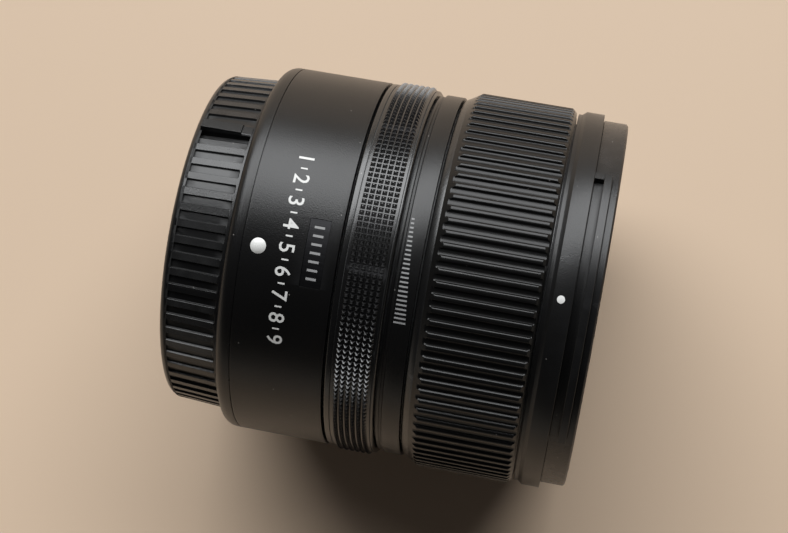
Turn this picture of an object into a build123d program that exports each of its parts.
from build123d import *
from math import atan2, copysign, cos, degrees, hypot, radians, sin, sqrt
import os

os.makedirs("parts", exist_ok=True)

# A power zoom lens with its rear cap on. +X runs along the optical axis to the front, +Z passes
# through both index dots, and the origin is the centre of the mount's rear face.

# Overall sizes
lens_diameter = 72.0  # over the ribs of the zoom ring
skin_wall = 1.6
surface_seam = 0.3  # gap beside a turning ring
hairline_width = 0.15  # groove between two pieces of the skin that are moulded flush
hairline_depth = 0.25
push_fit = 0.05  # radial clearance between fixed pieces that plug together
running_fit = 0.05  # radial clearance of a turning or sliding piece
cut_overrun = 1.0

# How far each ring of the outer skin lies inside the ribs of the zoom ring
barrel_inset = 0.9
control_inset = 0.4
band_inset = 1.4
collar_inset = 0.25
collar_base_inset = 0.9
rim_inset = 1.35

# Lengths of the outer skin, from the mount to the front rim
mount_height = 5.0
rear_ring_length = 3.0
barrel_length = 16.7
control_length = 9.2
band_length = 4.5
zoom_length = 21.0
collar_length = 4.8
lug_length = 3.1
rim_length = 1.5

zoom_tip_r = lens_diameter / 2
barrel_r = zoom_tip_r - barrel_inset
control_tip_r = zoom_tip_r - control_inset
band_r = zoom_tip_r - band_inset
collar_r = zoom_tip_r - collar_inset
collar_base_r = zoom_tip_r - collar_base_inset
rim_r = zoom_tip_r - rim_inset

rear_ring_x = mount_height
barrel_x = rear_ring_x + rear_ring_length
control_x = barrel_x + barrel_length + surface_seam
band_x = control_x + control_length + surface_seam
zoom_x = band_x + band_length + surface_seam
collar_x = zoom_x + zoom_length + surface_seam
lug_x = collar_x + collar_length
rim_x = lug_x + lug_length
lens_length = rim_x + rim_length

# Sleeve that carries both rings, and the frame inside it
sleeve_wall = 1.5
sleeve_gap = 1.6  # room between the sleeve and the frame
frame_wall = 1.2
sleeve_r = barrel_r - skin_wall - push_fit - surface_seam
sleeve_bore_r = sleeve_r - sleeve_wall
frame_r = sleeve_bore_r - sleeve_gap
frame_bore_r = frame_r - frame_wall


def turned(*points, mode=Mode.ADD):
    """Turn a closed outline of (x, radius) points about the optical axis."""
    with BuildSketch(Plane.XY) as outline:
        with BuildLine():
            Polyline(*points, close=True)
        make_face()
    revolve(outline.sketch, axis=Axis.X, mode=mode)


def tube(rear, front, bore, outer, mode=Mode.ADD):
    """Add or cut a plain tube about the optical axis."""
    turned((rear, bore), (front, bore), (front, outer), (rear, outer), mode=mode)


def disc(rear, front, outer, mode=Mode.ADD):
    """Add or cut a plain round block about the optical axis."""
    with BuildSketch(Plane.YZ.offset(rear)) as outline:
        Circle(outer)
    extrude(outline.sketch, amount=front - rear, mode=mode)


def around(radius, angle):
    """Place across the optical axis, at a radius and an angle from +Y towards +Z."""
    return (radius * cos(radians(angle)), radius * sin(radians(angle)))


def pegs(rear, front, radius, places, mode=Mode.ADD):
    """Add or cut round pegs along the optical axis at places across it."""
    with BuildSketch(Plane.YZ.offset(rear)) as outline:
        with Locations(*places):
            Circle(radius)
    extrude(outline.sketch, amount=front - rear, mode=mode)


def sector(rear, front, bore, outer, centre, span, mode=Mode.ADD):
    """Add or cut an arc-shaped block: its middle angle, and the angle that it spans."""
    with BuildSketch(Plane.YZ.offset(rear)) as outline:
        with BuildLine():
            CenterArc((0, 0), outer, centre - span / 2, span)
            Line(around(outer, centre + span / 2), around(bore, centre + span / 2))
            CenterArc((0, 0), bore, centre - span / 2, span)
            Line(around(bore, centre - span / 2), around(outer, centre - span / 2))
        make_face()
    extrude(outline.sketch, amount=front - rear, mode=mode)


def block(rear, front, inner, outer, width, angle, mode=Mode.ADD):
    """Add or cut a straight block that stands out from the axis, between two radii."""
    with BuildSketch(Plane.YZ.offset(rear)) as outline:
        with Locations(around((inner + outer) / 2, angle)):
            Rectangle(outer - inner, width, rotation=angle)
    extrude(outline.sketch, amount=front - rear, mode=mode)


def sag(curve, radius):
    """How far a rounded surface has fallen back at a radius, for the curve's own radius."""
    return curve - copysign(sqrt(curve**2 - radius**2), curve)


def dome(bulge, reach):
    """The radius of a surface that stands out by a bulge across a reach, either way."""
    return (reach**2 + bulge**2) / (2 * bulge)


def save(piece, name):
    """Label a finished piece and write its file."""
    piece.part.label = name
    export_step(piece.part, f"parts/{name}.step")


# Angles across the axis: 90 is up, through the index dots
up = 90
down = 270

# Mount: a base ring, a bayonet tube with four lugs, and a ledge for the light baffle
flange_inset = 4.9
flange_face_width = 4.4
bayonet_wall = 1.6
throat_ledge = 0.8
bayonet_length = 4.4
bayonet_lug_height = 1.5
bayonet_lug_thickness = 1.4
bayonet_lug_inset = 0.1
bayonet_lug_count = 4
bayonet_lug_span = 42
baffle_ledge = 1.4
board_inset = 3.8
flange_thickness = 2.4
mount_wall = 3.2
mount_screw_r = 0.85
mount_screw_head_r = 1.45
mount_screw_head = 0.75
mount_screw_inset = 1.65
mount_screw_count = 4
lock_slot_width = 2.2
lock_slot_length = 3.4
lock_slot_depth = 1.2
lock_slot_angle = 17
flange_r = barrel_r - flange_inset
bayonet_r = flange_r - flange_face_width
bayonet_bore_r = bayonet_r - bayonet_wall
bayonet_lug_r = bayonet_r + bayonet_lug_height
throat_r = bayonet_bore_r - throat_ledge
mount_wall_r = flange_r - mount_wall
mount_screw_ring_r = flange_r - mount_screw_inset
board_room_bore_r = throat_r - board_inset
bayonet_lug_turn = 180 / bayonet_lug_count

mount_screw_places = [
    around(mount_screw_ring_r, up + bayonet_lug_turn + turn * 360 / mount_screw_count)
    for turn in range(mount_screw_count)
]

# Frame plate behind the moving groups
rear_wall = 1.5
plate_thickness = 2.0
rear_plate_x = rear_ring_x + rear_wall
frame_x = rear_plate_x + plate_thickness
mount_screw_tip_x = frame_x - plate_thickness / 4

with BuildPart() as mount_flange:
    turned(
        (-bayonet_length, bayonet_bore_r),
        (-baffle_ledge, bayonet_bore_r),
        (-baffle_ledge, throat_r),
        (flange_thickness, throat_r),
        (flange_thickness, mount_wall_r),
        (mount_height, mount_wall_r),
        (mount_height, flange_r),
        (0, flange_r),
        (0, bayonet_r),
        (-bayonet_length, bayonet_r),
    )
    for turn in range(bayonet_lug_count):
        sector(
            -bayonet_length + bayonet_lug_inset,
            -bayonet_length + bayonet_lug_inset + bayonet_lug_thickness,
            bayonet_r - push_fit,
            bayonet_lug_r,
            up + bayonet_lug_turn + turn * 360 / bayonet_lug_count,
            bayonet_lug_span,
        )
    pegs(-cut_overrun, mount_height + cut_overrun, mount_screw_r + push_fit,
         mount_screw_places, Mode.SUBTRACT)
    pegs(-cut_overrun, mount_screw_head + push_fit, mount_screw_head_r + push_fit,
         mount_screw_places, Mode.SUBTRACT)
    with BuildSketch(Plane.YZ):
        with Locations(around((bayonet_r + flange_r) / 2 + skin_wall / 4, lock_slot_angle)):
            SlotOverall(lock_slot_length, lock_slot_width, rotation=lock_slot_angle + 90)
    extrude(amount=lock_slot_depth, mode=Mode.SUBTRACT)
save(mount_flange, "mount_flange")

# Four countersunk-head screws hold the mount to the frame
screw_recess_share = 0.6
with BuildPart() as mount_screws:
    pegs(mount_screw_head, mount_screw_tip_x, mount_screw_r, mount_screw_places)
    pegs(push_fit, mount_screw_head, mount_screw_head_r, mount_screw_places)
    with BuildSketch(Plane.YZ.offset(push_fit)):
        with Locations(*mount_screw_places):
            Rectangle(mount_screw_r * 2, mount_screw_r * screw_recess_share)
            Rectangle(mount_screw_r * screw_recess_share, mount_screw_r * 2)
    extrude(amount=mount_screw_head * screw_recess_share, mode=Mode.SUBTRACT)
save(mount_screws, "mount_screws")

# Light baffle: a disc with the picture-shaped window, against the ledge in the mount
baffle_thickness = 1.0
baffle_window_width = 26.0
baffle_window_height = 18.0
baffle_window_corner = 2.0
baffle_rim_height = 0.6
baffle_rim_width = 1.0
baffle_r = bayonet_bore_r - push_fit
baffle_rear_x = -baffle_ledge - baffle_thickness

with BuildPart() as rear_light_baffle:
    disc(baffle_rear_x, -baffle_ledge, baffle_r)
    with BuildSketch(Plane.YZ.offset(baffle_rear_x)):
        RectangleRounded(
            baffle_window_width + 2 * baffle_rim_width,
            baffle_window_height + 2 * baffle_rim_width,
            baffle_window_corner + baffle_rim_width,
        )
    extrude(amount=-baffle_rim_height)
    with BuildSketch(Plane.YZ.offset(baffle_rear_x - baffle_rim_height)):
        RectangleRounded(baffle_window_width, baffle_window_height, baffle_window_corner)
    extrude(amount=baffle_thickness + baffle_rim_height + cut_overrun, mode=Mode.SUBTRACT)
save(rear_light_baffle, "rear_light_baffle")

# Contact block: an arc on the baffle's rear face, with a row of sprung contact pins
contact_count = 11
contact_spacing = 1.75
contact_block_width = 4.75
contact_block_r = bayonet_bore_r - push_fit
contact_block_bore_r = contact_block_r - contact_block_width
contact_block_thickness = 1.6
contact_ring_r = (contact_block_bore_r + contact_block_r) / 2
contact_pitch = degrees(contact_spacing / contact_ring_r)
contact_block_span = contact_pitch * (contact_count + 1)
contact_pin_r = 0.65
contact_pin_proud = 0.25
contact_block_x = baffle_rear_x - contact_block_thickness
contact_places = [
    around(contact_ring_r, down + (index - (contact_count - 1) / 2) * contact_pitch)
    for index in range(contact_count)
]

with BuildPart() as contact_block:
    sector(contact_block_x, baffle_rear_x, contact_block_bore_r, contact_block_r, down, contact_block_span)
    pegs(contact_block_x - cut_overrun, baffle_rear_x + cut_overrun, contact_pin_r + push_fit,
         contact_places, Mode.SUBTRACT)
save(contact_block, "contact_block")

with BuildPart() as contact_pins:
    pegs(contact_block_x - contact_pin_proud, baffle_rear_x, contact_pin_r, contact_places)
    chamfer(contact_pins.edges().group_by(Axis.X)[0], contact_pin_proud * 2 / 3)
save(contact_pins, "contact_pins")

# Rear cap: a cup with shallow finger pockets, an index bar and four lugs that clear the bayonet's
cap_taper = 0.7
cap_back_thickness = 1.4
cap_back_gap = 0.5
cap_corner = 1.6
cap_skirt_wall = 1.75
cap_inner_gap = 0.25
cap_front_gap = 0.15
cap_lug_thickness = 1.1
cap_lug_span = 38
cap_pocket_count = 68
cap_pocket_depth = 0.7
cap_pocket_share = 0.58  # of the pitch
cap_pocket_rear_rim = 1.1
cap_pocket_front_rim = 0.6
cap_pocket_turn = 6.0  # from the bar to the first pocket, which the slot cuts into
cap_bar_angle = up - 38
cap_bar_width = 2.2
cap_bar_proud = 0.35
cap_bar_front_rim = 2.35
cap_bar_toe_proud = 0.08
cap_bar_toe_rim = 0.45
cap_bar_slot_width = 1.5
cap_bar_slot_depth = 1.2
cap_inner_back_x = -bayonet_length - cap_back_gap
cap_back_x = cap_inner_back_x - cap_back_thickness
cap_front_x = mount_height - cap_front_gap
cap_chamber_r = bayonet_lug_r + 2 * cap_inner_gap
cap_skirt_bore_r = flange_r + cap_inner_gap
cap_skirt_r = cap_skirt_bore_r + cap_skirt_wall
cap_rear_r = cap_skirt_r - cap_taper
cap_lug_bore_r = bayonet_r + cap_inner_gap + push_fit
cap_face_x = -cap_inner_gap
cap_lug_x = -bayonet_length + bayonet_lug_inset + bayonet_lug_thickness + cap_inner_gap
pocket_rear_x = cap_back_x + cap_pocket_rear_rim
pocket_front_x = cap_front_x - cap_pocket_front_rim
pocket_pitch = 360 / cap_pocket_count
pocket_width = radians(pocket_pitch * cap_pocket_share) * cap_rear_r
bar_step_x = cap_front_x - cap_bar_front_rim
bar_toe_x = cap_front_x - cap_bar_toe_rim
slot_angle = cap_bar_angle + degrees((cap_bar_width + cap_bar_slot_width) / 2 / cap_rear_r)
pocket_angles = [
    cap_bar_angle + cap_pocket_turn + index * pocket_pitch for index in range(cap_pocket_count - 1)
]


def cap_outer_r(x):
    """Radius of the cap's tapered side at a place along it."""
    share = (x - cap_back_x) / (cap_front_x - cap_back_x)
    return cap_rear_r + (cap_skirt_r - cap_rear_r) * share


def cap_grooves(angles, width, depth):
    """Cut straight grooves along the cap's tapered side, each as deep at both of its ends."""
    planes = [
        Plane(origin=(0, 0, 0), x_dir=(1, 0, 0), z_dir=(0, -sin(radians(angle)), cos(radians(angle))))
        for angle in angles
    ]
    with BuildSketch(*planes) as outline:
        with BuildLine():
            Polyline(
                (pocket_rear_x, cap_outer_r(pocket_rear_x) - depth),
                (pocket_front_x, cap_outer_r(pocket_front_x) - depth),
                (pocket_front_x, cap_skirt_r + cut_overrun),
                (pocket_rear_x, cap_skirt_r + cut_overrun),
                close=True,
            )
        make_face()
    extrude(outline.sketch, amount=width / 2, both=True, mode=Mode.SUBTRACT)


with BuildPart() as rear_cap:
    with BuildSketch(Plane.XY):
        with BuildLine():
            Line((cap_back_x, 0), (cap_back_x, cap_rear_r - cap_corner))
            corner_end_x = cap_back_x + cap_corner
            TangentArc(
                (cap_back_x, cap_rear_r - cap_corner),
                (corner_end_x, cap_outer_r(corner_end_x)),
                tangent=(0, 1),
            )
            Polyline(
                (corner_end_x, cap_outer_r(corner_end_x)),
                (cap_front_x, cap_skirt_r),
                (cap_front_x, cap_skirt_bore_r),
                (cap_face_x, cap_skirt_bore_r),
                (cap_face_x, cap_chamber_r),
                (cap_inner_back_x, cap_chamber_r),
                (cap_inner_back_x, 0),
                (cap_back_x, 0),
            )
        make_face()
    revolve(axis=Axis.X)
    cap_grooves(pocket_angles, pocket_width, cap_pocket_depth)
    block(pocket_rear_x, bar_step_x, cap_skirt_bore_r + push_fit, cap_skirt_r + cap_bar_proud,
          cap_bar_width, cap_bar_angle)
    block(bar_step_x, bar_toe_x, cap_skirt_bore_r + push_fit, cap_skirt_r + cap_bar_toe_proud,
          cap_bar_width, cap_bar_angle)
    cap_grooves([slot_angle], cap_bar_slot_width, cap_bar_slot_depth)
    for turn in range(bayonet_lug_count):
        sector(
            cap_lug_x,
            cap_lug_x + cap_lug_thickness,
            cap_lug_bore_r,
            cap_chamber_r + push_fit,
            up + turn * 360 / bayonet_lug_count,
            cap_lug_span,
        )
save(rear_cap, "rear_cap")

# Rear ring: the rounded shoulder of the skin, with a wall that the mount is screwed to
shoulder_drop = 1.5
shoulder_round = 2.0
spigot_wall = 1.2
spigot_length = 1.8
board_seat_bore_r = board_room_bore_r - push_fit
shoulder_r = barrel_r - shoulder_drop
skin_bore_r = barrel_r - skin_wall
spigot_r = skin_bore_r - push_fit

with BuildPart() as rear_ring:
    with BuildSketch(Plane.XY) as outline:
        with BuildLine():
            Line((rear_ring_x, board_seat_bore_r), (rear_ring_x, shoulder_r))
            TangentArc(
                (rear_ring_x + shoulder_round, barrel_r),
                (rear_ring_x, shoulder_r),
                tangent=(-1, 0),
            )
            Polyline(
                (rear_ring_x + shoulder_round, barrel_r),
                (barrel_x - hairline_width, barrel_r),
                (barrel_x - hairline_width, barrel_r - hairline_depth),
                (barrel_x, barrel_r - hairline_depth),
                (barrel_x, spigot_r),
                (barrel_x + spigot_length, spigot_r),
                (barrel_x + spigot_length, spigot_r - spigot_wall),
                (rear_plate_x, spigot_r - spigot_wall),
                (rear_plate_x, board_seat_bore_r),
                (rear_ring_x, board_seat_bore_r),
            )
        make_face()
    revolve(axis=Axis.X)
    pegs(rear_ring_x - cut_overrun, frame_x, mount_screw_r + push_fit, mount_screw_places, Mode.SUBTRACT)
save(rear_ring, "rear_ring")

# Index dots: a large domed bead for the mount, and a small one for the hood
mount_dot_inset = 2.8
mount_dot_r = 1.38
mount_dot_proud = 0.42
mount_dot_sunk = 1.0
hood_dot_inset = 2.0
hood_dot_r = 0.68
hood_dot_proud = 0.06
hood_dot_sunk = 0.5
mount_dot_x = barrel_x + mount_dot_inset
hood_dot_x = lug_x - hood_dot_inset


def bead(x, surface_r, radius, proud, sunk):
    """Add a domed bead, set from above into the skin at the top of the lens."""
    with BuildSketch(Plane.XZ) as outline:
        with BuildLine():
            Polyline((x, surface_r + proud), (x, surface_r - sunk), (x + radius, surface_r - sunk),
                     (x + radius, surface_r))
            dome_curve = dome(proud, radius)
            ThreePointArc(
                (x + radius, surface_r),
                (x + radius / 2, surface_r + proud - sag(dome_curve, radius / 2)),
                (x, surface_r + proud),
            )
        make_face()
    revolve(outline.sketch, axis=Axis((x, 0, 0), (0, 0, 1)))


def bead_hole(x, surface_r, radius, sunk):
    """Cut the flat-bottomed hole that a bead sits in."""
    with BuildSketch(Plane.XY.offset(surface_r - sunk)) as outline:
        with Locations((x, 0)):
            Circle(radius + push_fit)
    extrude(outline.sketch, amount=sunk + cut_overrun, mode=Mode.SUBTRACT)


with BuildPart() as mount_index_dot:
    bead(mount_dot_x, barrel_r, mount_dot_r, mount_dot_proud, mount_dot_sunk)
save(mount_index_dot, "mount_index_dot")

with BuildPart() as hood_index_dot:
    bead(hood_dot_x, collar_r, hood_dot_r, hood_dot_proud, hood_dot_sunk)
save(hood_index_dot, "hood_index_dot")

# Fixed barrel, with a seat for the sleeve and a pocket for the badge plate
sleeve_seat_length = 3.7
badge_inset = 10.9
badge_width = 3.75
badge_span = 19.6
badge_depth = 0.5
badge_proud = -0.12
badge_turn = -0.6
badge_rear_x = barrel_x + badge_inset
badge_angle = up + badge_turn

with BuildPart() as main_barrel:
    turned(
        (barrel_x, skin_bore_r),
        (control_x - surface_seam - sleeve_seat_length, skin_bore_r),
        (control_x - surface_seam - sleeve_seat_length, sleeve_r + push_fit),
        (control_x - surface_seam, sleeve_r + push_fit),
        (control_x - surface_seam, barrel_r),
        (barrel_x, barrel_r),
    )
    bead_hole(mount_dot_x, barrel_r, mount_dot_r, mount_dot_sunk)
    sector(badge_rear_x, badge_rear_x + badge_width, barrel_r - badge_depth, barrel_r + cut_overrun,
           badge_angle, badge_span, Mode.SUBTRACT)
save(main_barrel, "main_barrel")

with BuildPart() as badge_plate:
    sector(
        badge_rear_x + push_fit,
        badge_rear_x + badge_width - push_fit,
        barrel_r - badge_depth,
        barrel_r + badge_proud,
        badge_angle,
        badge_span - degrees(2 * push_fit / barrel_r),
    )
save(badge_plate, "badge_plate")

# Sleeve that both rings turn on
sleeve_rear_x = control_x - surface_seam - sleeve_seat_length
sleeve_front_x = collar_x + sleeve_seat_length * 2 / 3

with BuildPart() as ring_sleeve:
    tube(sleeve_rear_x, sleeve_front_x, sleeve_bore_r, sleeve_r)
save(ring_sleeve, "ring_sleeve")

# Control ring: plain shoulders, and six rows of knurling that stand here as turned ridges
ring_bore_r = sleeve_r + running_fit
knurl_row_count = 6
knurl_rear_margin = 1.75
knurl_front_margin = 0.85
knurl_depth = 0.55
control_shoulder_drop = 0.55
control_edge_drop = 0.3
control_shoulder_r = control_tip_r - control_shoulder_drop
control_edge_r = control_shoulder_r - control_edge_drop
control_front_x = control_x + control_length
knurl_rear_x = control_x + knurl_rear_margin
knurl_row = (control_length - knurl_rear_margin - knurl_front_margin) / knurl_row_count
knurl_ridges = []
for row in range(knurl_row_count):
    knurl_ridges += [
        (knurl_rear_x + row * knurl_row, control_tip_r - knurl_depth),
        (knurl_rear_x + row * knurl_row + knurl_row / 2, control_tip_r),
    ]

with BuildPart() as control_ring:
    turned(
        (control_x, ring_bore_r),
        (control_x, control_edge_r),
        (control_x + surface_seam, control_shoulder_r),
        *knurl_ridges,
        (knurl_rear_x + knurl_row_count * knurl_row, control_tip_r - knurl_depth),
        (control_front_x - surface_seam, control_shoulder_r),
        (control_front_x, control_edge_r),
        (control_front_x, ring_bore_r),
    )
save(control_ring, "control_ring")

# Fixed band between the rings: a narrow lip, a sunk step, then the plain band
band_lip_width = 0.6
band_step_width = 0.7
band_step_depth = 0.4

with BuildPart() as middle_band:
    turned(
        (band_x, sleeve_r + push_fit),
        (band_x, band_r - band_step_depth),
        (band_x + band_lip_width, band_r - band_step_depth),
        (band_x + band_lip_width + band_step_width, band_r),
        (band_x + band_length, band_r),
        (band_x + band_length, sleeve_r + push_fit),
    )
save(middle_band, "middle_band")

# Zoom ring: the ring that rocks, and the ribbed sleeve round it
zoom_shoulder_drop = 1.05
grip_wall = 0.65
zoom_shoulder_width = 1.4
zoom_edge_drop = 0.85
rib_count = 100
rib_height = 0.5
rib_top_share = 0.3  # of the pitch
rib_foot_share = 0.7
rib_rear_slope = 1.65
rib_front_slope = 0.9
rib_front_drop = 0.8
grip_front_gap = 0.1
zoom_front_x = zoom_x + zoom_length
grip_x = zoom_x + zoom_shoulder_width
grip_front_x = zoom_front_x - grip_front_gap
rib_valley_r = zoom_tip_r - rib_height
rib_front_r = zoom_tip_r - rib_front_drop
zoom_shoulder_r = zoom_tip_r - zoom_shoulder_drop
zoom_edge_r = zoom_shoulder_r - zoom_edge_drop
zoom_core_r = zoom_shoulder_r - grip_wall
rib_pitch = 360 / rib_count

with BuildPart() as zoom_ring:
    turned(
        (zoom_x, ring_bore_r),
        (zoom_x, zoom_edge_r),
        (zoom_x + surface_seam / 2, zoom_edge_r + surface_seam / 2),
        (grip_x, zoom_shoulder_r),
        (grip_x, zoom_core_r),
        (zoom_front_x, zoom_core_r),
        (zoom_front_x, ring_bore_r),
    )
save(zoom_ring, "zoom_ring")

rib_corners = []
for rib in range(rib_count):
    middle = up + rib * rib_pitch + rib_pitch / 2
    for radius, share in (
        (rib_valley_r, -rib_foot_share),
        (zoom_tip_r, -rib_top_share),
        (zoom_tip_r, rib_top_share),
        (rib_valley_r, rib_foot_share),
    ):
        rib_corners.append(around(radius, middle + share * rib_pitch / 2))

with BuildPart() as zoom_grip:
    with BuildSketch(Plane.YZ.offset(grip_x)):
        with BuildLine():
            Polyline(*rib_corners, close=True)
        make_face()
    extrude(amount=grip_front_x - grip_x)
    turned(
        (grip_x, zoom_core_r + push_fit),
        (grip_x, zoom_shoulder_r + push_fit),
        (grip_x + rib_rear_slope, zoom_tip_r + push_fit),
        (grip_front_x - rib_front_slope, zoom_tip_r + push_fit),
        (grip_front_x, rib_front_r),
        (grip_front_x, zoom_core_r + push_fit),
        mode=Mode.INTERSECT,
    )
save(zoom_grip, "zoom_grip")

# Front collar: hood bayonet, filter thread and the seat of the bezel
filter_thread_wall = 1.55
filter_mouth_chamfer = 0.35
collar_base_width = 0.7
collar_slope_width = 0.75
bezel_recess = 4.0
bezel_band = 1.95
bezel_shoulder = 0.4
collar_neck_step = 0.25
hood_lug_count = 2
hood_lug_turn = 2.0
hood_lug_centre = up + hood_lug_turn
hood_lug_span = 83.0
hood_slot_width = 1.7
hood_slot_inset = 2.3  # degrees of closed wall at the slot's end
filter_thread_r = rim_r - filter_thread_wall
bezel_front_x = lens_length - bezel_recess
bezel_seat_x = bezel_front_x - bezel_band
bezel_r = filter_thread_r - bezel_shoulder
collar_neck_r = sleeve_bore_r + collar_neck_step
sleeve_pocket_x = sleeve_front_x + push_fit

with BuildPart() as front_collar:
    turned(
        (collar_x, sleeve_r + push_fit),
        (collar_x, collar_base_r),
        (collar_x + collar_base_width, collar_base_r),
        (collar_x + collar_base_width + collar_slope_width, collar_r),
        (lug_x, collar_r),
        (lug_x, rim_r - hairline_depth),
        (lug_x + hairline_width, rim_r - hairline_depth),
        (lug_x + hairline_width, rim_r),
        (lens_length - filter_mouth_chamfer, rim_r),
        (lens_length, rim_r - filter_mouth_chamfer),
        (lens_length, filter_thread_r + filter_mouth_chamfer),
        (lens_length - filter_mouth_chamfer, filter_thread_r),
        (bezel_front_x, filter_thread_r),
        (bezel_front_x, bezel_r + push_fit),
        (bezel_seat_x, bezel_r + push_fit),
        (bezel_seat_x, collar_neck_r),
        (sleeve_pocket_x, collar_neck_r),
        (sleeve_pocket_x, sleeve_r + push_fit),
    )
    for turn in range(hood_lug_count):
        centre = hood_lug_centre + turn * 360 / hood_lug_count
        sector(lug_x - push_fit, rim_x, rim_r - hairline_depth - push_fit, collar_r,
               centre, hood_lug_span)
        sector(lug_x, lug_x + hood_slot_width, rim_r, collar_r + cut_overrun,
               centre + hood_slot_inset, hood_lug_span, Mode.SUBTRACT)
        sector(lug_x, lug_x + hairline_width, rim_r - hairline_depth, rim_r + cut_overrun,
               centre + hood_slot_inset, hood_lug_span, Mode.SUBTRACT)
        sector(rim_x, rim_x + hairline_width, rim_r - hairline_depth, rim_r + cut_overrun,
               centre, hood_lug_span, Mode.SUBTRACT)
    bead_hole(hood_dot_x, collar_r, hood_dot_r, hood_dot_sunk)
save(front_collar, "front_collar")

# Optics: every lens surface has a curve, which is positive where it bulges to the front
front_cell_wall = 4.6
front_element_recess = 4.4
front_element_thickness = 2.0
front_element_bulge = 6.4  # a surface stands out by its bulge, or falls in where it is negative
front_element_rear_bulge = 8.1
front_element_clear_step = 0.5
second_element_inset = 10.5
second_element_setback = 7.4
second_element_thickness = 1.6
second_element_clear_step = 3.5
second_element_bulge = 3.1
second_element_rear_bulge = 4.3
cell_r = sleeve_bore_r - push_fit
front_element_rim = cell_r - front_cell_wall
front_element_x = lens_length - front_element_recess
second_element_rim = front_element_rim - second_element_inset
second_element_x = front_element_x - second_element_setback
front_element_clear = second_element_rim + front_element_clear_step
second_element_clear = second_element_rim - second_element_clear_step
front_element_curve = dome(front_element_bulge, front_element_rim)
front_element_rear_curve = dome(front_element_rear_bulge, front_element_clear)
second_element_curve = dome(second_element_bulge, second_element_rim)
second_element_rear_curve = dome(second_element_rear_bulge, second_element_clear)


def lens(front_x, front_curve, front_clear, rear_x, rear_curve, rear_clear, rim):
    """Add a lens element; outside a clear radius each side is a flat rim."""
    front_edge_x = front_x - sag(front_curve, front_clear)
    rear_edge_x = rear_x - sag(rear_curve, rear_clear)
    with BuildSketch(Plane.XY) as outline:
        with BuildLine():
            ThreePointArc(
                (front_x, 0), (front_x - sag(front_curve, front_clear / 2), front_clear / 2),
                (front_edge_x, front_clear),
            )
            if front_clear < rim:
                Line((front_edge_x, front_clear), (front_edge_x, rim))
            Line((front_edge_x, rim), (rear_edge_x, rim))
            if rear_clear < rim:
                Line((rear_edge_x, rim), (rear_edge_x, rear_clear))
            ThreePointArc(
                (rear_edge_x, rear_clear), (rear_x - sag(rear_curve, rear_clear / 2), rear_clear / 2),
                (rear_x, 0),
            )
            Line((rear_x, 0), (front_x, 0))
        make_face()
    revolve(outline.sketch, axis=Axis.X)


# Front cell: holds the first two elements and is screwed to the frame's front wall
cell_lip = 0.9
cell_barrel_wall = 1.75
front_back_x = front_element_x - front_element_thickness
front_seat_x = front_back_x - sag(front_element_rear_curve, front_element_clear)
front_rim_x = front_element_x - sag(front_element_curve, front_element_rim)
second_back_x = second_element_x - second_element_thickness
second_seat_x = second_back_x - sag(second_element_rear_curve, second_element_clear)
cell_floor = 3.4
cell_rear_x = front_seat_x - cell_floor
cell_front_x = front_rim_x + 2 * push_fit
cell_barrel_r = second_element_rim + cell_barrel_wall
cell_lip_x = second_seat_x - cell_lip
frame_front_wall = 1.5
frame_front_x = cell_rear_x
frame_screw_r = 0.7
frame_screw_head_r = 1.25
frame_screw_head = 0.9
frame_screw_count = 3
frame_screw_ring_r = (cell_barrel_r + front_element_rim) / 2
frame_screw_places = [
    around(frame_screw_ring_r, down + turn * 360 / frame_screw_count) for turn in range(frame_screw_count)
]
frame_screw_head_x = front_seat_x - frame_screw_head - push_fit

with BuildPart() as front_element:
    lens(front_element_x, front_element_curve, front_element_rim, front_back_x,
         front_element_rear_curve, front_element_clear, front_element_rim)
save(front_element, "front_element")

with BuildPart() as second_element:
    lens(second_element_x, second_element_curve, second_element_rim, second_back_x,
         second_element_rear_curve, second_element_clear, second_element_rim)
save(second_element, "second_element")

with BuildPart() as front_cell:
    turned(
        (cell_rear_x, cell_r),
        (cell_front_x, cell_r),
        (cell_front_x, front_element_rim + push_fit),
        (front_seat_x, front_element_rim + push_fit),
        (front_seat_x, second_element_rim + push_fit),
        (second_seat_x, second_element_rim + push_fit),
        (second_seat_x, second_element_rim - cell_lip),
        (cell_lip_x, second_element_rim - cell_lip),
        (cell_lip_x, cell_barrel_r),
        (cell_rear_x, cell_barrel_r),
    )
    pegs(cell_rear_x - cut_overrun, front_seat_x, frame_screw_r + push_fit, frame_screw_places, Mode.SUBTRACT)
    pegs(frame_screw_head_x, front_seat_x + cut_overrun, frame_screw_head_r + push_fit,
         frame_screw_places, Mode.SUBTRACT)
save(front_cell, "front_cell")

with BuildPart() as frame_screws:
    pegs(frame_front_x - frame_front_wall, frame_screw_head_x, frame_screw_r, frame_screw_places)
    pegs(frame_screw_head_x, front_seat_x - push_fit, frame_screw_head_r, frame_screw_places)
save(frame_screws, "frame_screws")

# Bezel in front of the first element: a cone with fine steps that trap stray light
bezel_lip_inset = 1.2
bezel_lip = 0.55
bezel_edge = 0.65
bezel_step_count = 8
bezel_lip_r = front_element_rim - bezel_lip_inset
bezel_lip_x = front_element_x - sag(front_element_curve, bezel_lip_r) + 4 * push_fit
bezel_steps = []
for step in range(bezel_step_count):
    step_share = step / bezel_step_count
    next_share = (step + 1) / bezel_step_count
    bezel_rise = bezel_r - bezel_edge - bezel_lip_r
    bezel_run = bezel_front_x - bezel_lip_x - bezel_lip
    bezel_steps += [
        (bezel_lip_x + bezel_lip + bezel_run * step_share, bezel_lip_r + bezel_rise * step_share),
        (bezel_lip_x + bezel_lip + bezel_run * step_share, bezel_lip_r + bezel_rise * next_share),
    ]

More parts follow.
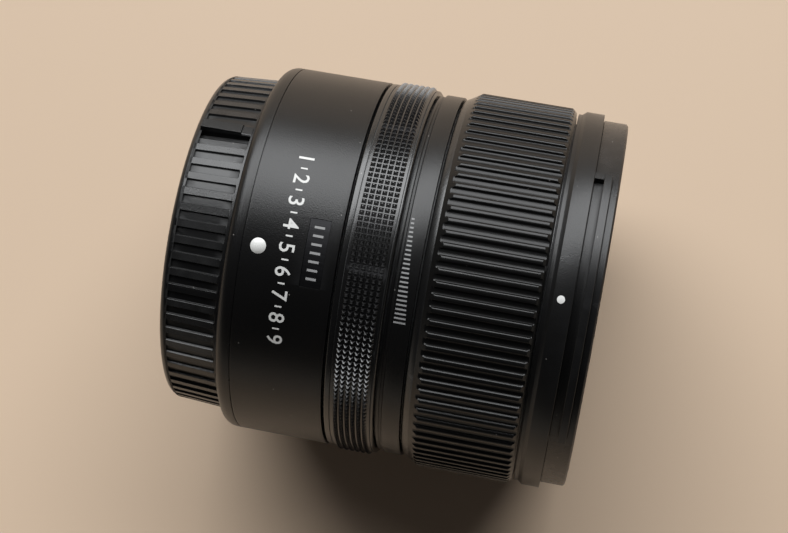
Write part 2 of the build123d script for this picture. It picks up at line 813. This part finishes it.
with BuildPart() as front_bezel:
    turned(
        (bezel_lip_x, bezel_lip_r),
        *bezel_steps,
        (bezel_front_x, bezel_r - bezel_edge),
        (bezel_front_x, bezel_r),
        (bezel_seat_x, bezel_r),
        (bezel_seat_x, collar_neck_r - surface_seam),
        (cell_front_x + 2 * push_fit, front_element_rim + cell_lip * 2),
        (cell_front_x + 2 * push_fit, front_element_rim),
    )
save(front_bezel, "front_bezel")

# What all carriages share
bearing_wall = 1.0
arm_width = 2.8
arm_thickness = 1.8
fork_overhang = 1.4
nut_wall = 1.0
nut_length = 3.0
screw_r = 0.8
# The motors lie low, side by side, so that the lens rests on its side with its dots up
screw_angles = {"front_zoom": down, "rear_zoom": down + 30, "focus": down - 30}
motor_r = 3.9
motor_length = 8.0
bracket_thickness = 0.7
bracket_width = 6.0
bracket_gap = 0.25
bracket_r = frame_bore_r - bracket_gap
screw_ring_r = bracket_r - bracket_thickness - motor_r
inner_unit_r = screw_ring_r - motor_r - surface_seam

# Guide rods and the frame that holds them
rod_inset = 3.85
main_rod_r = 1.0
main_rod_angle = down + 60
second_rod_r = 0.8
second_rod_angle = main_rod_angle - 180
rod_end_inset = 0.3
rod_ring_r = frame_bore_r - rod_inset
main_rod_place = around(rod_ring_r, main_rod_angle)
second_rod_place = around(rod_ring_r, second_rod_angle)
rod_rear_x = rear_plate_x + rod_end_inset
rod_front_x = frame_front_x - rod_end_inset
frame_bore_clear = 0.7
frame_flange_bore_r = cell_barrel_r + frame_bore_clear
plate_spigot = 1.0

with BuildPart() as inner_frame:
    turned(
        (frame_x, frame_bore_r),
        (frame_front_x - frame_front_wall, frame_bore_r),
        (frame_front_x - frame_front_wall, frame_flange_bore_r),
        (frame_front_x, frame_flange_bore_r),
        (frame_front_x, cell_r),
        (frame_front_x - frame_front_wall, cell_r),
        (frame_front_x - frame_front_wall, frame_r),
        (frame_x, frame_r),
    )
    pegs(frame_x, frame_front_x + cut_overrun, main_rod_r + push_fit, [main_rod_place], Mode.SUBTRACT)
    pegs(frame_x, frame_front_x + cut_overrun, second_rod_r + push_fit, [second_rod_place], Mode.SUBTRACT)
    pegs(frame_x, frame_front_x + cut_overrun, frame_screw_r + push_fit, frame_screw_places, Mode.SUBTRACT)
save(inner_frame, "inner_frame")

with BuildPart() as main_guide_rod:
    pegs(rod_rear_x, rod_front_x, main_rod_r, [main_rod_place])
save(main_guide_rod, "main_guide_rod")

with BuildPart() as second_guide_rod:
    pegs(rod_rear_x, rod_front_x, second_rod_r, [second_rod_place])
save(second_guide_rod, "second_guide_rod")

# Rear cell and element, carried by the frame's rear plate
rear_element_proud = 0.2
rear_element_thickness = 5.0
rear_element_bulge = 2.5
rear_element_rear_bulge = -1.5
rear_cell_clear = 3.7
rear_cell_wall = 2.4
rear_cell_lip = 0.7
rear_cell_r = board_room_bore_r - rear_cell_clear
rear_element_rim = rear_cell_r - rear_cell_wall
rear_element_curve = dome(rear_element_bulge, rear_element_rim)
rear_element_rear_curve = dome(rear_element_rear_bulge, rear_element_rim)
rear_element_x = mount_height + rear_element_proud
rear_element_back_x = rear_element_x - rear_element_thickness
rear_element_edge_x = rear_element_back_x - sag(rear_element_rear_curve, rear_element_rim - rear_cell_lip)
rear_cell_x = rear_element_edge_x - rear_cell_lip - push_fit

with BuildPart() as rear_element:
    lens(rear_element_x, rear_element_curve, rear_element_rim, rear_element_back_x,
         rear_element_rear_curve, rear_element_rim - rear_cell_lip, rear_element_rim)
save(rear_element, "rear_element")

with BuildPart() as rear_cell:
    turned(
        (rear_cell_x, rear_element_rim - rear_cell_lip + push_fit),
        (rear_element_edge_x - push_fit, rear_element_rim - rear_cell_lip + push_fit),
        (rear_element_edge_x - push_fit, rear_element_rim + push_fit),
        (frame_x, rear_element_rim + push_fit),
        (frame_x, rear_cell_r),
        (rear_cell_x, rear_cell_r),
    )
save(rear_cell, "rear_cell")

with BuildPart() as rear_plate:
    turned(
        (rear_plate_x, rear_cell_r + push_fit),
        (frame_x, rear_cell_r + push_fit),
        (frame_x, frame_bore_r - push_fit - frame_wall),
        (frame_x + plate_spigot, frame_bore_r - push_fit - frame_wall),
        (frame_x + plate_spigot, frame_bore_r - push_fit),
        (frame_x, frame_bore_r - push_fit),
        (frame_x, frame_r),
        (rear_plate_x, frame_r),
    )
    pegs(rod_rear_x, frame_x + cut_overrun, main_rod_r + push_fit, [main_rod_place], Mode.SUBTRACT)
    pegs(rod_rear_x, frame_x + cut_overrun, second_rod_r + push_fit, [second_rod_place], Mode.SUBTRACT)
    block(frame_x, frame_x + plate_spigot + cut_overrun, screw_ring_r, frame_bore_r,
          bracket_width + 2 * surface_seam, screw_angles["focus"], Mode.SUBTRACT)
    pegs(rear_plate_x - cut_overrun, frame_x + cut_overrun, mount_screw_r + push_fit,
         mount_screw_places, Mode.SUBTRACT)
save(rear_plate, "rear_plate")

# Main board: a ring of circuit board in the mount, with its chips on the rear side
board_thickness = 1.0
board_clear = 0.3
board_r = mount_wall_r - board_clear
chip_height = 0.9
chip_size = 4.2
chip_angles_share = (0.06, 0.2, 0.37, 0.55, 0.69, 0.86)
chip_ring_r = (board_r + throat_r) / 2
board_x = mount_height - board_thickness

with BuildPart() as main_board:
    tube(board_x, mount_height, board_room_bore_r, board_r)
    for turn_share in chip_angles_share:
        block(board_x - chip_height, board_x, chip_ring_r - chip_size / 4, chip_ring_r + chip_size / 4,
              chip_size, 360 * turn_share)
save(main_board, "main_board")

# Travels of the moving groups along the axis, and the room left at their ends
focus_travel = 1.2  # each way
rear_zoom_travel = 3.4  # forwards
front_zoom_travel = 6.8  # backwards
group_gap = 0.5


def carriage_arms(rear, bearing_length, arm_x, ring_r, screw_angle, nut_x):
    """Add the bearing on the main rod, the fork on the second rod and the nut on the screw."""
    screw_place = around(screw_ring_r, screw_angle)
    arm_root_r = ring_r - bearing_wall
    block(arm_x, arm_x + arm_thickness, arm_root_r, rod_ring_r, arm_width, main_rod_angle)
    block(arm_x, arm_x + arm_thickness, arm_root_r, rod_ring_r + fork_overhang, arm_width, second_rod_angle)
    block(arm_x, arm_x + arm_thickness, arm_root_r, screw_ring_r, arm_width, screw_angle)
    pegs(rear, rear + bearing_length, main_rod_r + bearing_wall, [main_rod_place])
    pegs(nut_x, nut_x + nut_length, screw_r + nut_wall, [screw_place])
    pegs(rear - cut_overrun, rear + bearing_length + cut_overrun, main_rod_r + running_fit,
         [main_rod_place], Mode.SUBTRACT)
    pegs(nut_x - cut_overrun, nut_x + nut_length + cut_overrun, screw_r + running_fit,
         [screw_place], Mode.SUBTRACT)
    block(arm_x - cut_overrun, arm_x + arm_thickness + cut_overrun, rod_ring_r,
          rod_ring_r + fork_overhang + cut_overrun, 2 * (second_rod_r + running_fit),
          second_rod_angle, Mode.SUBTRACT)
    pegs(arm_x - cut_overrun, arm_x + arm_thickness + cut_overrun, second_rod_r + running_fit,
         [second_rod_place], Mode.SUBTRACT)


def drive_motor(screw_angle, body_x, facing, tab_x):
    """Add a motor body with a bracket that reaches along the screw to its end bearing."""
    screw_place = around(screw_ring_r, screw_angle)
    face_x = body_x + motor_length if facing > 0 else body_x
    plate_x = face_x if facing > 0 else face_x - bracket_thickness
    pegs(body_x, body_x + motor_length, motor_r, [screw_place])
    block(plate_x, plate_x + bracket_thickness, screw_ring_r - bracket_width / 2, bracket_r,
          bracket_width, screw_angle)
    block(tab_x, tab_x + bracket_thickness, screw_ring_r - bracket_width / 3, bracket_r,
          bracket_width, screw_angle)
    strip_rear = min(plate_x, tab_x)
    strip_front = max(plate_x, tab_x) + bracket_thickness
    block(strip_rear, strip_front, bracket_r - bracket_thickness, bracket_r, bracket_width, screw_angle)
    bore_rear = face_x - motor_length / 4 if facing > 0 else tab_x - cut_overrun
    bore_front = tab_x + bracket_thickness + cut_overrun if facing > 0 else face_x + motor_length / 4
    pegs(bore_rear, bore_front, screw_r + running_fit, [screw_place], Mode.SUBTRACT)


def lead_screw(screw_angle, rear, front):
    """Add a lead screw, cut with fine turned grooves between two plain ends."""
    groove_depth = screw_r / 8
    groove_pitch = screw_r / 2
    plain_end = screw_r * 2
    groove_count = int((front - rear - 2 * plain_end) / groove_pitch)
    outline_points = [(rear, 0), (rear, screw_r)]
    for groove in range(groove_count):
        groove_x = rear + plain_end + groove * groove_pitch
        outline_points += [
            (groove_x, screw_r),
            (groove_x + groove_pitch / 2, screw_r - groove_depth),
            (groove_x + groove_pitch, screw_r),
        ]
    outline_points += [(front, screw_r), (front, 0)]
    distinct = [point for index, point in enumerate(outline_points) if point != outline_points[index - 1]]
    screw_plane = Plane(
        origin=(0, *around(screw_ring_r, screw_angle)), x_dir=(1, 0, 0), z_dir=(0, 0, 1)
    )
    with BuildSketch(screw_plane) as outline:
        with BuildLine():
            Polyline(*distinct, close=True)
        make_face()
    revolve(outline.sketch, axis=Axis(screw_plane.origin, (1, 0, 0)))


# Focus group: one light element, driven from in front
focus_inset = 10.8
focus_rim = inner_unit_r - focus_inset
focus_ring_wall = 1.5
focus_lip = 0.6
focus_bearing = 4.0
focus_x = frame_x + bracket_gap + bracket_thickness + bracket_gap + focus_travel
focus_front_x = focus_x + focus_bearing * 2 / 3
focus_thickness = 1.4
focus_bulge = 1.0
focus_rear_bulge = 2.8
focus_curve = dome(focus_bulge, focus_rim)
focus_rear_curve = dome(focus_rear_bulge, focus_rim)
focus_back_x = focus_front_x - focus_thickness
focus_edge_x = focus_back_x - sag(focus_rear_curve, focus_rim - focus_lip)
focus_rim_front_x = focus_front_x - sag(focus_curve, focus_rim)
focus_ring_r = focus_rim + focus_ring_wall
focus_motor_x = focus_x + nut_length + focus_travel + group_gap + bracket_thickness
focus_screw_tip_x = frame_x + bracket_gap

with BuildPart() as focus_element:
    lens(focus_front_x, focus_curve, focus_rim, focus_back_x, focus_rear_curve,
         focus_rim - focus_lip, focus_rim)
save(focus_element, "focus_element")

with BuildPart() as focus_carriage:
    turned(
        (focus_edge_x - focus_lip, focus_rim - focus_lip),
        (focus_edge_x - push_fit, focus_rim - focus_lip),
        (focus_edge_x - push_fit, focus_rim + push_fit),
        (focus_rim_front_x, focus_rim + push_fit),
        (focus_rim_front_x, focus_ring_r),
        (focus_edge_x - focus_lip, focus_ring_r),
    )
    carriage_arms(focus_x, focus_bearing, focus_x, focus_ring_r, screw_angles["focus"], focus_x)
save(focus_carriage, "focus_carriage")

with BuildPart() as focus_motor:
    drive_motor(screw_angles["focus"], focus_motor_x, -1, focus_screw_tip_x)
save(focus_motor, "focus_motor")

with BuildPart() as focus_screw:
    lead_screw(screw_angles["focus"], focus_screw_tip_x, focus_motor_x + motor_length / 6)
save(focus_screw, "focus_screw")

# Rear zoom group: one strong element, driven from in front
rear_zoom_inset = 7.8
rear_zoom_rim = inner_unit_r - rear_zoom_inset
rear_zoom_ring_wall = 1.7
rear_zoom_lip = 0.7
rear_zoom_bearing = 3.8
rear_zoom_x = focus_x + focus_bearing + focus_travel + group_gap
rear_zoom_front_x = rear_zoom_x + rear_zoom_bearing + bracket_gap
rear_zoom_thickness = 4.2
rear_zoom_bulge = 2.5
rear_zoom_rear_bulge = -0.8
rear_zoom_curve = dome(rear_zoom_bulge, rear_zoom_rim)
rear_zoom_rear_curve = dome(rear_zoom_rear_bulge, rear_zoom_rim)
rear_zoom_back_x = rear_zoom_front_x - rear_zoom_thickness
rear_zoom_edge_x = rear_zoom_back_x - sag(rear_zoom_rear_curve, rear_zoom_rim)
rear_zoom_ring_r = rear_zoom_rim + rear_zoom_ring_wall
vr_x = max(rear_zoom_front_x + rear_zoom_travel, focus_motor_x + motor_length) + group_gap
vr_base_thickness = 1.3
rear_motor_x = vr_x + vr_base_thickness + bracket_gap + bracket_thickness
rear_screw_tip_x = rear_zoom_x - nut_length

with BuildPart() as zoom_rear_element:
    lens(rear_zoom_front_x, rear_zoom_curve, rear_zoom_rim, rear_zoom_back_x, rear_zoom_rear_curve,
         rear_zoom_rim, rear_zoom_rim)
save(zoom_rear_element, "zoom_rear_element")

with BuildPart() as zoom_carriage_rear:
    turned(
        (rear_zoom_back_x - rear_zoom_lip / 2, rear_zoom_rim - rear_zoom_lip),
        (rear_zoom_edge_x - rear_zoom_lip / 2, rear_zoom_rim - rear_zoom_lip),
        (rear_zoom_edge_x - push_fit, rear_zoom_rim + push_fit),
        (rear_zoom_x + rear_zoom_bearing, rear_zoom_rim + push_fit),
        (rear_zoom_x + rear_zoom_bearing, rear_zoom_ring_r),
        (rear_zoom_back_x - rear_zoom_lip / 2, rear_zoom_ring_r),
    )
    carriage_arms(rear_zoom_x, rear_zoom_bearing, rear_zoom_x, rear_zoom_ring_r,
                  screw_angles["rear_zoom"], rear_zoom_x)
save(zoom_carriage_rear, "zoom_carriage_rear")

with BuildPart() as zoom_motor_rear:
    drive_motor(screw_angles["rear_zoom"], rear_motor_x, -1, rear_screw_tip_x)
save(zoom_motor_rear, "zoom_motor_rear")

with BuildPart() as zoom_screw_rear:
    lead_screw(screw_angles["rear_zoom"], rear_screw_tip_x, rear_motor_x + motor_length / 6)
save(zoom_screw_rear, "zoom_screw_rear")

# Front zoom group: a cemented pair in a carriage behind the front cell, driven from behind
front_zoom_inset = 8.8
front_zoom_rim = inner_unit_r - front_zoom_inset
front_zoom_ring_wall = 1.8
front_zoom_lip = 0.7
pair_thickness = 1.2
pair_front_bulge = -1.5
pair_joint_bulge = 2.5
pair_rear_bulge = -1.0
pair_rear_thickness = 4.6
pair_front_curve = dome(pair_front_bulge, front_zoom_rim)
pair_joint_curve = dome(pair_joint_bulge, front_zoom_rim)
pair_rear_curve = dome(pair_rear_bulge, front_zoom_rim)
cement = 0.02
pair_front_edge_x = cell_lip_x - group_gap
pair_front_x = pair_front_edge_x + sag(pair_front_curve, front_zoom_rim)
pair_joint_x = pair_front_x - pair_thickness
pair_rear_x = pair_joint_x - pair_rear_thickness
pair_rear_edge_x = pair_rear_x - sag(pair_rear_curve, front_zoom_rim)
front_zoom_ring_r = front_zoom_rim + front_zoom_ring_wall
front_zoom_bearing = 6.8
front_zoom_x = pair_rear_x
front_zoom_nut_x = front_zoom_x + nut_length / 2
front_motor_x = front_zoom_nut_x - front_zoom_travel - group_gap - bracket_thickness - motor_length
front_screw_tip_x = frame_front_x - frame_front_wall - bracket_gap

with BuildPart() as zoom_element_a:
    lens(pair_front_x, pair_front_curve, front_zoom_rim, pair_joint_x, pair_joint_curve,
         front_zoom_rim, front_zoom_rim)
save(zoom_element_a, "zoom_element_a")

with BuildPart() as zoom_element_b:
    lens(pair_joint_x - cement, pair_joint_curve, front_zoom_rim, pair_rear_x, pair_rear_curve,
         front_zoom_rim, front_zoom_rim)
save(zoom_element_b, "zoom_element_b")

with BuildPart() as zoom_carriage_front:
    turned(
        (pair_rear_x - front_zoom_lip, front_zoom_rim - front_zoom_lip),
        (pair_rear_edge_x - front_zoom_lip, front_zoom_rim - front_zoom_lip),
        (pair_rear_edge_x - push_fit, front_zoom_rim + push_fit),
        (pair_front_edge_x, front_zoom_rim + push_fit),
        (pair_front_edge_x, front_zoom_ring_r),
        (pair_rear_x - front_zoom_lip, front_zoom_ring_r),
    )
    carriage_arms(front_zoom_x, front_zoom_bearing, front_zoom_nut_x, front_zoom_ring_r,
                  screw_angles["front_zoom"], front_zoom_nut_x)
save(zoom_carriage_front, "zoom_carriage_front")

with BuildPart() as zoom_motor_front:
    drive_motor(screw_angles["front_zoom"], front_motor_x, 1, front_screw_tip_x - bracket_thickness)
save(zoom_motor_front, "zoom_motor_front")

with BuildPart() as zoom_screw_front:
    lead_screw(screw_angles["front_zoom"], front_motor_x + motor_length * 5 / 6, front_screw_tip_x)
save(zoom_screw_front, "zoom_screw_front")

# Vibration reduction: a base on the frame, a slider that moves sideways, and a lens holder
# that moves up and down on the slider
vr_base_width = 8.8
vr_rim_wall = 1.0
vr_travel = 0.6
vr_pad_r = 1.1
vr_pad_height = 0.5
vr_pad_inset = 5.2
vr_pad_count = 3
vr_play = 0.1
vr_slider_thickness = 0.8
vr_slider_step = 0.3
vr_holder_thickness = 0.9
vr_inset = 11.8
vr_ring_wall = 1.4
vr_element_thickness = 3.0
vr_bulge = 0.9
vr_coil_length = 8.0
vr_coil_width = 5.0
vr_coil_height = 0.7
vr_coil_wire = 1.3
vr_coil_inset = 6.4
vr_magnet_height = 1.2
vr_magnet_share = 0.9  # of the coil
vr_coil_gap = 0.4
screw_passage = 0.4
vr_base_bore_r = inner_unit_r - vr_base_width
vr_slider_bore_r = vr_base_bore_r + vr_slider_step
vr_pad_ring_r = inner_unit_r - vr_pad_inset
vr_coil_ring_r = inner_unit_r - vr_coil_inset
vr_rim = inner_unit_r - vr_inset
vr_curve = dome(vr_bulge, vr_rim)
vr_rim_bore_r = inner_unit_r - vr_rim_wall
vr_slider_x = vr_x + vr_base_thickness + vr_pad_height + vr_play
vr_slider_r = vr_rim_bore_r - vr_travel - surface_seam
vr_holder_x = vr_slider_x + vr_slider_thickness + vr_pad_height + vr_play
vr_holder_front_x = vr_holder_x + vr_holder_thickness
vr_ring_r = vr_rim + vr_ring_wall
vr_holder_r = vr_slider_r - vr_travel - surface_seam
vr_coil_angles = (up + 90, down)
vr_pad_places = [
    around(vr_pad_ring_r, down + turn * 360 / vr_pad_count) for turn in range(vr_pad_count)
]
vr_holder_pad_places = [
    around(vr_pad_ring_r, up + turn * 360 / vr_pad_count) for turn in range(vr_pad_count)
]
vr_middle_x = vr_holder_x + vr_holder_thickness / 2
vr_front_x = vr_holder_front_x + vr_coil_height + vr_coil_gap + vr_magnet_height


def across(rear, front, ring_r, length, width, angles, mode=Mode.ADD):
    """Add or cut blocks that lie across a radius: length along the turn, width outwards."""
    for angle in angles:
        block(rear, front, ring_r - width / 2, ring_r + width / 2, length, angle, mode)


with BuildPart() as vr_base:
    tube(vr_x, vr_x + vr_base_thickness, vr_base_bore_r, frame_bore_r - push_fit)
    tube(vr_x + vr_base_thickness - push_fit, vr_front_x, vr_rim_bore_r, inner_unit_r)
    pegs(vr_x + vr_base_thickness - push_fit, vr_slider_x - vr_play, vr_pad_r, vr_pad_places)
    pegs(vr_x - cut_overrun, vr_x + vr_base_thickness + cut_overrun, main_rod_r + push_fit,
         [main_rod_place], Mode.SUBTRACT)
    pegs(vr_x - cut_overrun, vr_x + vr_base_thickness + cut_overrun, second_rod_r + push_fit,
         [second_rod_place], Mode.SUBTRACT)
    pegs(vr_x - cut_overrun, vr_x + vr_base_thickness + cut_overrun, screw_r + screw_passage,
         [around(screw_ring_r, screw_angles["rear_zoom"])], Mode.SUBTRACT)
    block(vr_x - cut_overrun, vr_x + vr_base_thickness + cut_overrun,
          bracket_r - bracket_thickness - bracket_gap, frame_bore_r + cut_overrun,
          bracket_width + screw_passage, screw_angles["rear_zoom"], Mode.SUBTRACT)
save(vr_base, "vr_base")

with BuildPart() as vr_slider:
    tube(vr_slider_x, vr_slider_x + vr_slider_thickness, vr_slider_bore_r, vr_slider_r)
save(vr_slider, "vr_slider")

with BuildPart() as vr_lens_holder:
    tube(vr_middle_x - vr_element_thickness / 2, vr_holder_front_x + vr_coil_height,
         vr_rim + push_fit, vr_ring_r)
    tube(vr_holder_x, vr_holder_front_x, vr_ring_r - push_fit, vr_holder_r)
    pegs(vr_slider_x + vr_slider_thickness + vr_play, vr_holder_x + push_fit, vr_pad_r, vr_holder_pad_places)
save(vr_lens_holder, "vr_lens_holder")

with BuildPart() as vr_element:
    lens(vr_middle_x + vr_element_thickness / 2, vr_curve, vr_rim,
         vr_middle_x - vr_element_thickness / 2, -vr_curve, vr_rim, vr_rim)
save(vr_element, "vr_element")

with BuildPart() as vr_coils:
    across(vr_holder_front_x, vr_holder_front_x + vr_coil_height, vr_coil_ring_r,
           vr_coil_length, vr_coil_width, vr_coil_angles)
    across(vr_holder_front_x - cut_overrun, vr_holder_front_x + vr_coil_height + cut_overrun, vr_coil_ring_r,
           vr_coil_length - 2 * vr_coil_wire, vr_coil_width - 2 * vr_coil_wire, vr_coil_angles, Mode.SUBTRACT)
save(vr_coils, "vr_coils")

with BuildPart() as vr_magnets:
    across(vr_front_x - vr_magnet_height, vr_front_x, vr_coil_ring_r,
           vr_coil_length * vr_magnet_share, vr_coil_width * vr_magnet_share, vr_coil_angles)
save(vr_magnets, "vr_magnets")

# Iris: seven blades on pins in a base plate, swung by slots in a drive ring
iris_plate_thickness = 0.8
iris_open_inset = 10.0
iris_blade_count = 7
iris_blade_width = 4.8
iris_blade_span = 95
iris_blade_thickness = 0.12
iris_blade_step = 0.24
iris_blade_swing = 28.0
iris_ring_turn = 24.0
iris_pivot_inset = 3.3
iris_pin_r = 0.4
iris_heel_r = 1.25
iris_lug_r = 1.0
iris_drive_pin_out = 0.3  # from the blade's pivot
iris_drive_pin_along = 3.2
iris_slot_clear = 0.08
iris_ring_thickness = 0.5
iris_gap = 0.15
iris_rim_wall = 1.0
iris_cover_thickness = 0.6
iris_ring_pitch_inset = 0.55
iris_ring_teeth = 95
iris_pinion_teeth = 18
ring_spare_teeth = 2
iris_tooth_share = 0.4  # of the pitch, at the pitch circle
tooth_slope = 0.36
tooth_tip_share = 0.8  # of the module
tooth_root_share = 1.1  # of the module
iris_shaft_r = 0.5
iris_window_span = 72
iris_pinion_angle = up
iris_x = vr_front_x
iris_plate_front_x = iris_x + iris_plate_thickness
iris_blades_x = iris_plate_front_x + iris_gap / 2
iris_ring_x = iris_blades_x + iris_blade_count * iris_blade_step
iris_ring_front_x = iris_ring_x + iris_ring_thickness
iris_cover_x = iris_ring_front_x + iris_gap
iris_open_r = inner_unit_r - iris_open_inset
iris_pivot_r = inner_unit_r - iris_pivot_inset
iris_ring_pitch_r = inner_unit_r - iris_ring_pitch_inset
tooth_module = 2 * iris_ring_pitch_r / iris_ring_teeth
iris_pinion_pitch_r = tooth_module * iris_pinion_teeth / 2
iris_pinion_ring_r = iris_ring_pitch_r + iris_pinion_pitch_r
iris_motor_r = iris_pinion_ring_r - inner_unit_r - iris_gap
iris_motor_x = vr_x + vr_base_thickness + iris_gap
iris_shaft_x = (iris_motor_x + iris_x) / 2
iris_pinion_place = around(iris_pinion_ring_r, iris_pinion_angle)
iris_rim_bore_r = inner_unit_r - iris_rim_wall
iris_ring_r = iris_rim_bore_r - running_fit
iris_ring_bore_r = iris_open_r + iris_gap
blade_angles = [down + blade * 360 / iris_blade_count for blade in range(iris_blade_count)]


def tooth_points(centre, teeth, pitch_r, start_angle, first, last):
    """Corners of straight-sided teeth about a centre, counted from the tooth at the start angle."""
    pitch = 360 / teeth
    tip_r = pitch_r + tooth_tip_share * tooth_module
    root_r = pitch_r - tooth_root_share * tooth_module
    tip_half = iris_tooth_share * pitch / 2 - degrees(tooth_slope * (tip_r - pitch_r) / pitch_r)
    root_half = iris_tooth_share * pitch / 2 + degrees(tooth_slope * (pitch_r - root_r) / pitch_r)
    points = []
    for tooth in range(first, last + 1):
        middle = start_angle + tooth * pitch
        corners = ((root_r, -root_half), (tip_r, -tip_half), (tip_r, tip_half), (root_r, root_half))
        for radius, turned_by in corners:
            across_x, across_y = around(radius, middle + turned_by)
            points.append((centre[0] + across_x, centre[1] + across_y))
    return points


def drive_pin_path(share):
    """Where a drive pin lies, seen from the drive ring, at a share of the blades' swing."""
    swing = radians(iris_blade_swing * share)
    pin_x = iris_pivot_r + iris_drive_pin_out * cos(swing) - iris_drive_pin_along * sin(swing)
    pin_y = iris_drive_pin_out * sin(swing) + iris_drive_pin_along * cos(swing)
    turn = radians(iris_ring_turn * share)
    return (hypot(pin_x, pin_y), degrees(atan2(pin_y, pin_x) - turn))


with BuildPart() as iris_base_plate:
    tube(iris_x, iris_plate_front_x, iris_open_r, inner_unit_r)
    pegs(iris_x, iris_plate_front_x, iris_motor_r + iris_rim_wall, [iris_pinion_place])
    disc(iris_x - cut_overrun, iris_plate_front_x + cut_overrun, iris_open_r, Mode.SUBTRACT)
    tube(iris_plate_front_x - push_fit, iris_cover_x, iris_rim_bore_r, inner_unit_r)
    sector(iris_blades_x, iris_cover_x + cut_overrun, iris_rim_bore_r - cut_overrun,
           inner_unit_r + cut_overrun, iris_pinion_angle, iris_window_span, Mode.SUBTRACT)
    pegs(iris_x - cut_overrun, iris_plate_front_x + cut_overrun, iris_pin_r + push_fit,
         [around(iris_pivot_r, angle) for angle in blade_angles], Mode.SUBTRACT)
    pegs(iris_x - cut_overrun, iris_plate_front_x + cut_overrun, iris_shaft_r + running_fit,
         [iris_pinion_place], Mode.SUBTRACT)
save(iris_base_plate, "iris_base_plate")

blade_pin_ring_r = hypot(iris_pivot_r + iris_drive_pin_out, iris_drive_pin_along)
blade_pin_lead = degrees(atan2(iris_drive_pin_along, iris_pivot_r + iris_drive_pin_out))
blade_bore_r = iris_open_r + iris_gap
blade_middle_r = blade_bore_r + iris_blade_width / 2
for blade, angle in enumerate(blade_angles):
    blade_x = iris_blades_x + blade * iris_blade_step
    blade_front_x = blade_x + iris_blade_thickness
    pin_angle = angle + blade_pin_lead
    with BuildPart() as iris_blade:
        sector(blade_x, blade_front_x, blade_bore_r, blade_bore_r + iris_blade_width,
               angle + iris_blade_span / 2, iris_blade_span)
        pegs(blade_x, blade_front_x, iris_blade_width / 2, [around(blade_middle_r, angle + iris_blade_span)])
        block(blade_x, blade_front_x, blade_middle_r, iris_pivot_r, 2 * iris_heel_r, angle)
        pegs(blade_x, blade_front_x, iris_heel_r, [around(iris_pivot_r, angle)])
        block(blade_x, blade_front_x, blade_middle_r, blade_pin_ring_r, 2 * iris_lug_r, pin_angle)
        pegs(blade_x, blade_front_x, iris_lug_r, [around(blade_pin_ring_r, pin_angle)])
        pegs(iris_x, blade_front_x, iris_pin_r, [around(iris_pivot_r, angle)])
        pegs(blade_x, iris_ring_front_x, iris_pin_r, [around(blade_pin_ring_r, pin_angle)])
    save(iris_blade, f"iris_blade_{blade + 1}")

# Drive ring: teeth for the travel past the pinion, and a curved slot for each blade's drive pin
ring_tooth_pitch = 360 / iris_ring_teeth
ring_tooth_count = round(iris_ring_turn / ring_tooth_pitch) + ring_spare_teeth
ring_root_r = iris_rim_bore_r - iris_rim_wall
ring_teeth_points = tooth_points((0, 0), iris_ring_teeth, iris_ring_pitch_r, iris_pinion_angle,
                                 -ring_tooth_count, ring_spare_teeth)
slot_shares = (-0.06, 0.22, 0.5, 0.78, 1.06)

with BuildPart() as iris_drive_ring:
    tube(iris_ring_x, iris_ring_front_x, iris_ring_bore_r, iris_ring_r)
    with BuildSketch(Plane.YZ.offset(iris_ring_x)):
        with BuildLine():
            Polyline(
                around(ring_root_r, iris_pinion_angle - ring_tooth_count * ring_tooth_pitch),
                *ring_teeth_points,
                around(ring_root_r, iris_pinion_angle + ring_spare_teeth * ring_tooth_pitch),
                close=True,
            )
        make_face()
    extrude(amount=iris_ring_thickness)
    for angle in blade_angles:
        slot_places = [
            around(radius, angle + lead) for radius, lead in (drive_pin_path(share) for share in slot_shares)
        ]
        with BuildSketch(Plane.YZ.offset(iris_ring_x - cut_overrun)):
            with BuildLine():
                Spline(*slot_places)
            trace(line_width=2 * (iris_pin_r + iris_slot_clear))
            with Locations(slot_places[0], slot_places[-1]):
                Circle(iris_pin_r + iris_slot_clear)
        extrude(amount=iris_ring_thickness + 2 * cut_overrun, mode=Mode.SUBTRACT)
save(iris_drive_ring, "iris_drive_ring")

with BuildPart() as iris_cover_plate:
    tube(iris_cover_x, iris_cover_x + iris_cover_thickness, iris_open_r + iris_gap / 2, inner_unit_r)
save(iris_cover_plate, "iris_cover_plate")

# Iris motor behind the plate, and its shaft with the pinion that turns the ring
with BuildPart() as iris_motor:
    pegs(iris_motor_x, iris_x, iris_motor_r, [iris_pinion_place])
    pegs(iris_shaft_x, iris_x + cut_overrun, iris_shaft_r + running_fit, [iris_pinion_place], Mode.SUBTRACT)
save(iris_motor, "iris_motor")

pinion_first_angle = iris_pinion_angle + 180 + 180 / iris_pinion_teeth
pinion_points = tooth_points(iris_pinion_place, iris_pinion_teeth, iris_pinion_pitch_r, pinion_first_angle,
                             0, iris_pinion_teeth - 1)

with BuildPart() as iris_pinion:
    pegs(iris_shaft_x + surface_seam, iris_ring_front_x, iris_shaft_r, [iris_pinion_place])
    with BuildSketch(Plane.YZ.offset(iris_ring_x)):
        with BuildLine():
            Polyline(*pinion_points, close=True)
        make_face()
    extrude(amount=iris_ring_thickness)
save(iris_pinion, "iris_pinion")
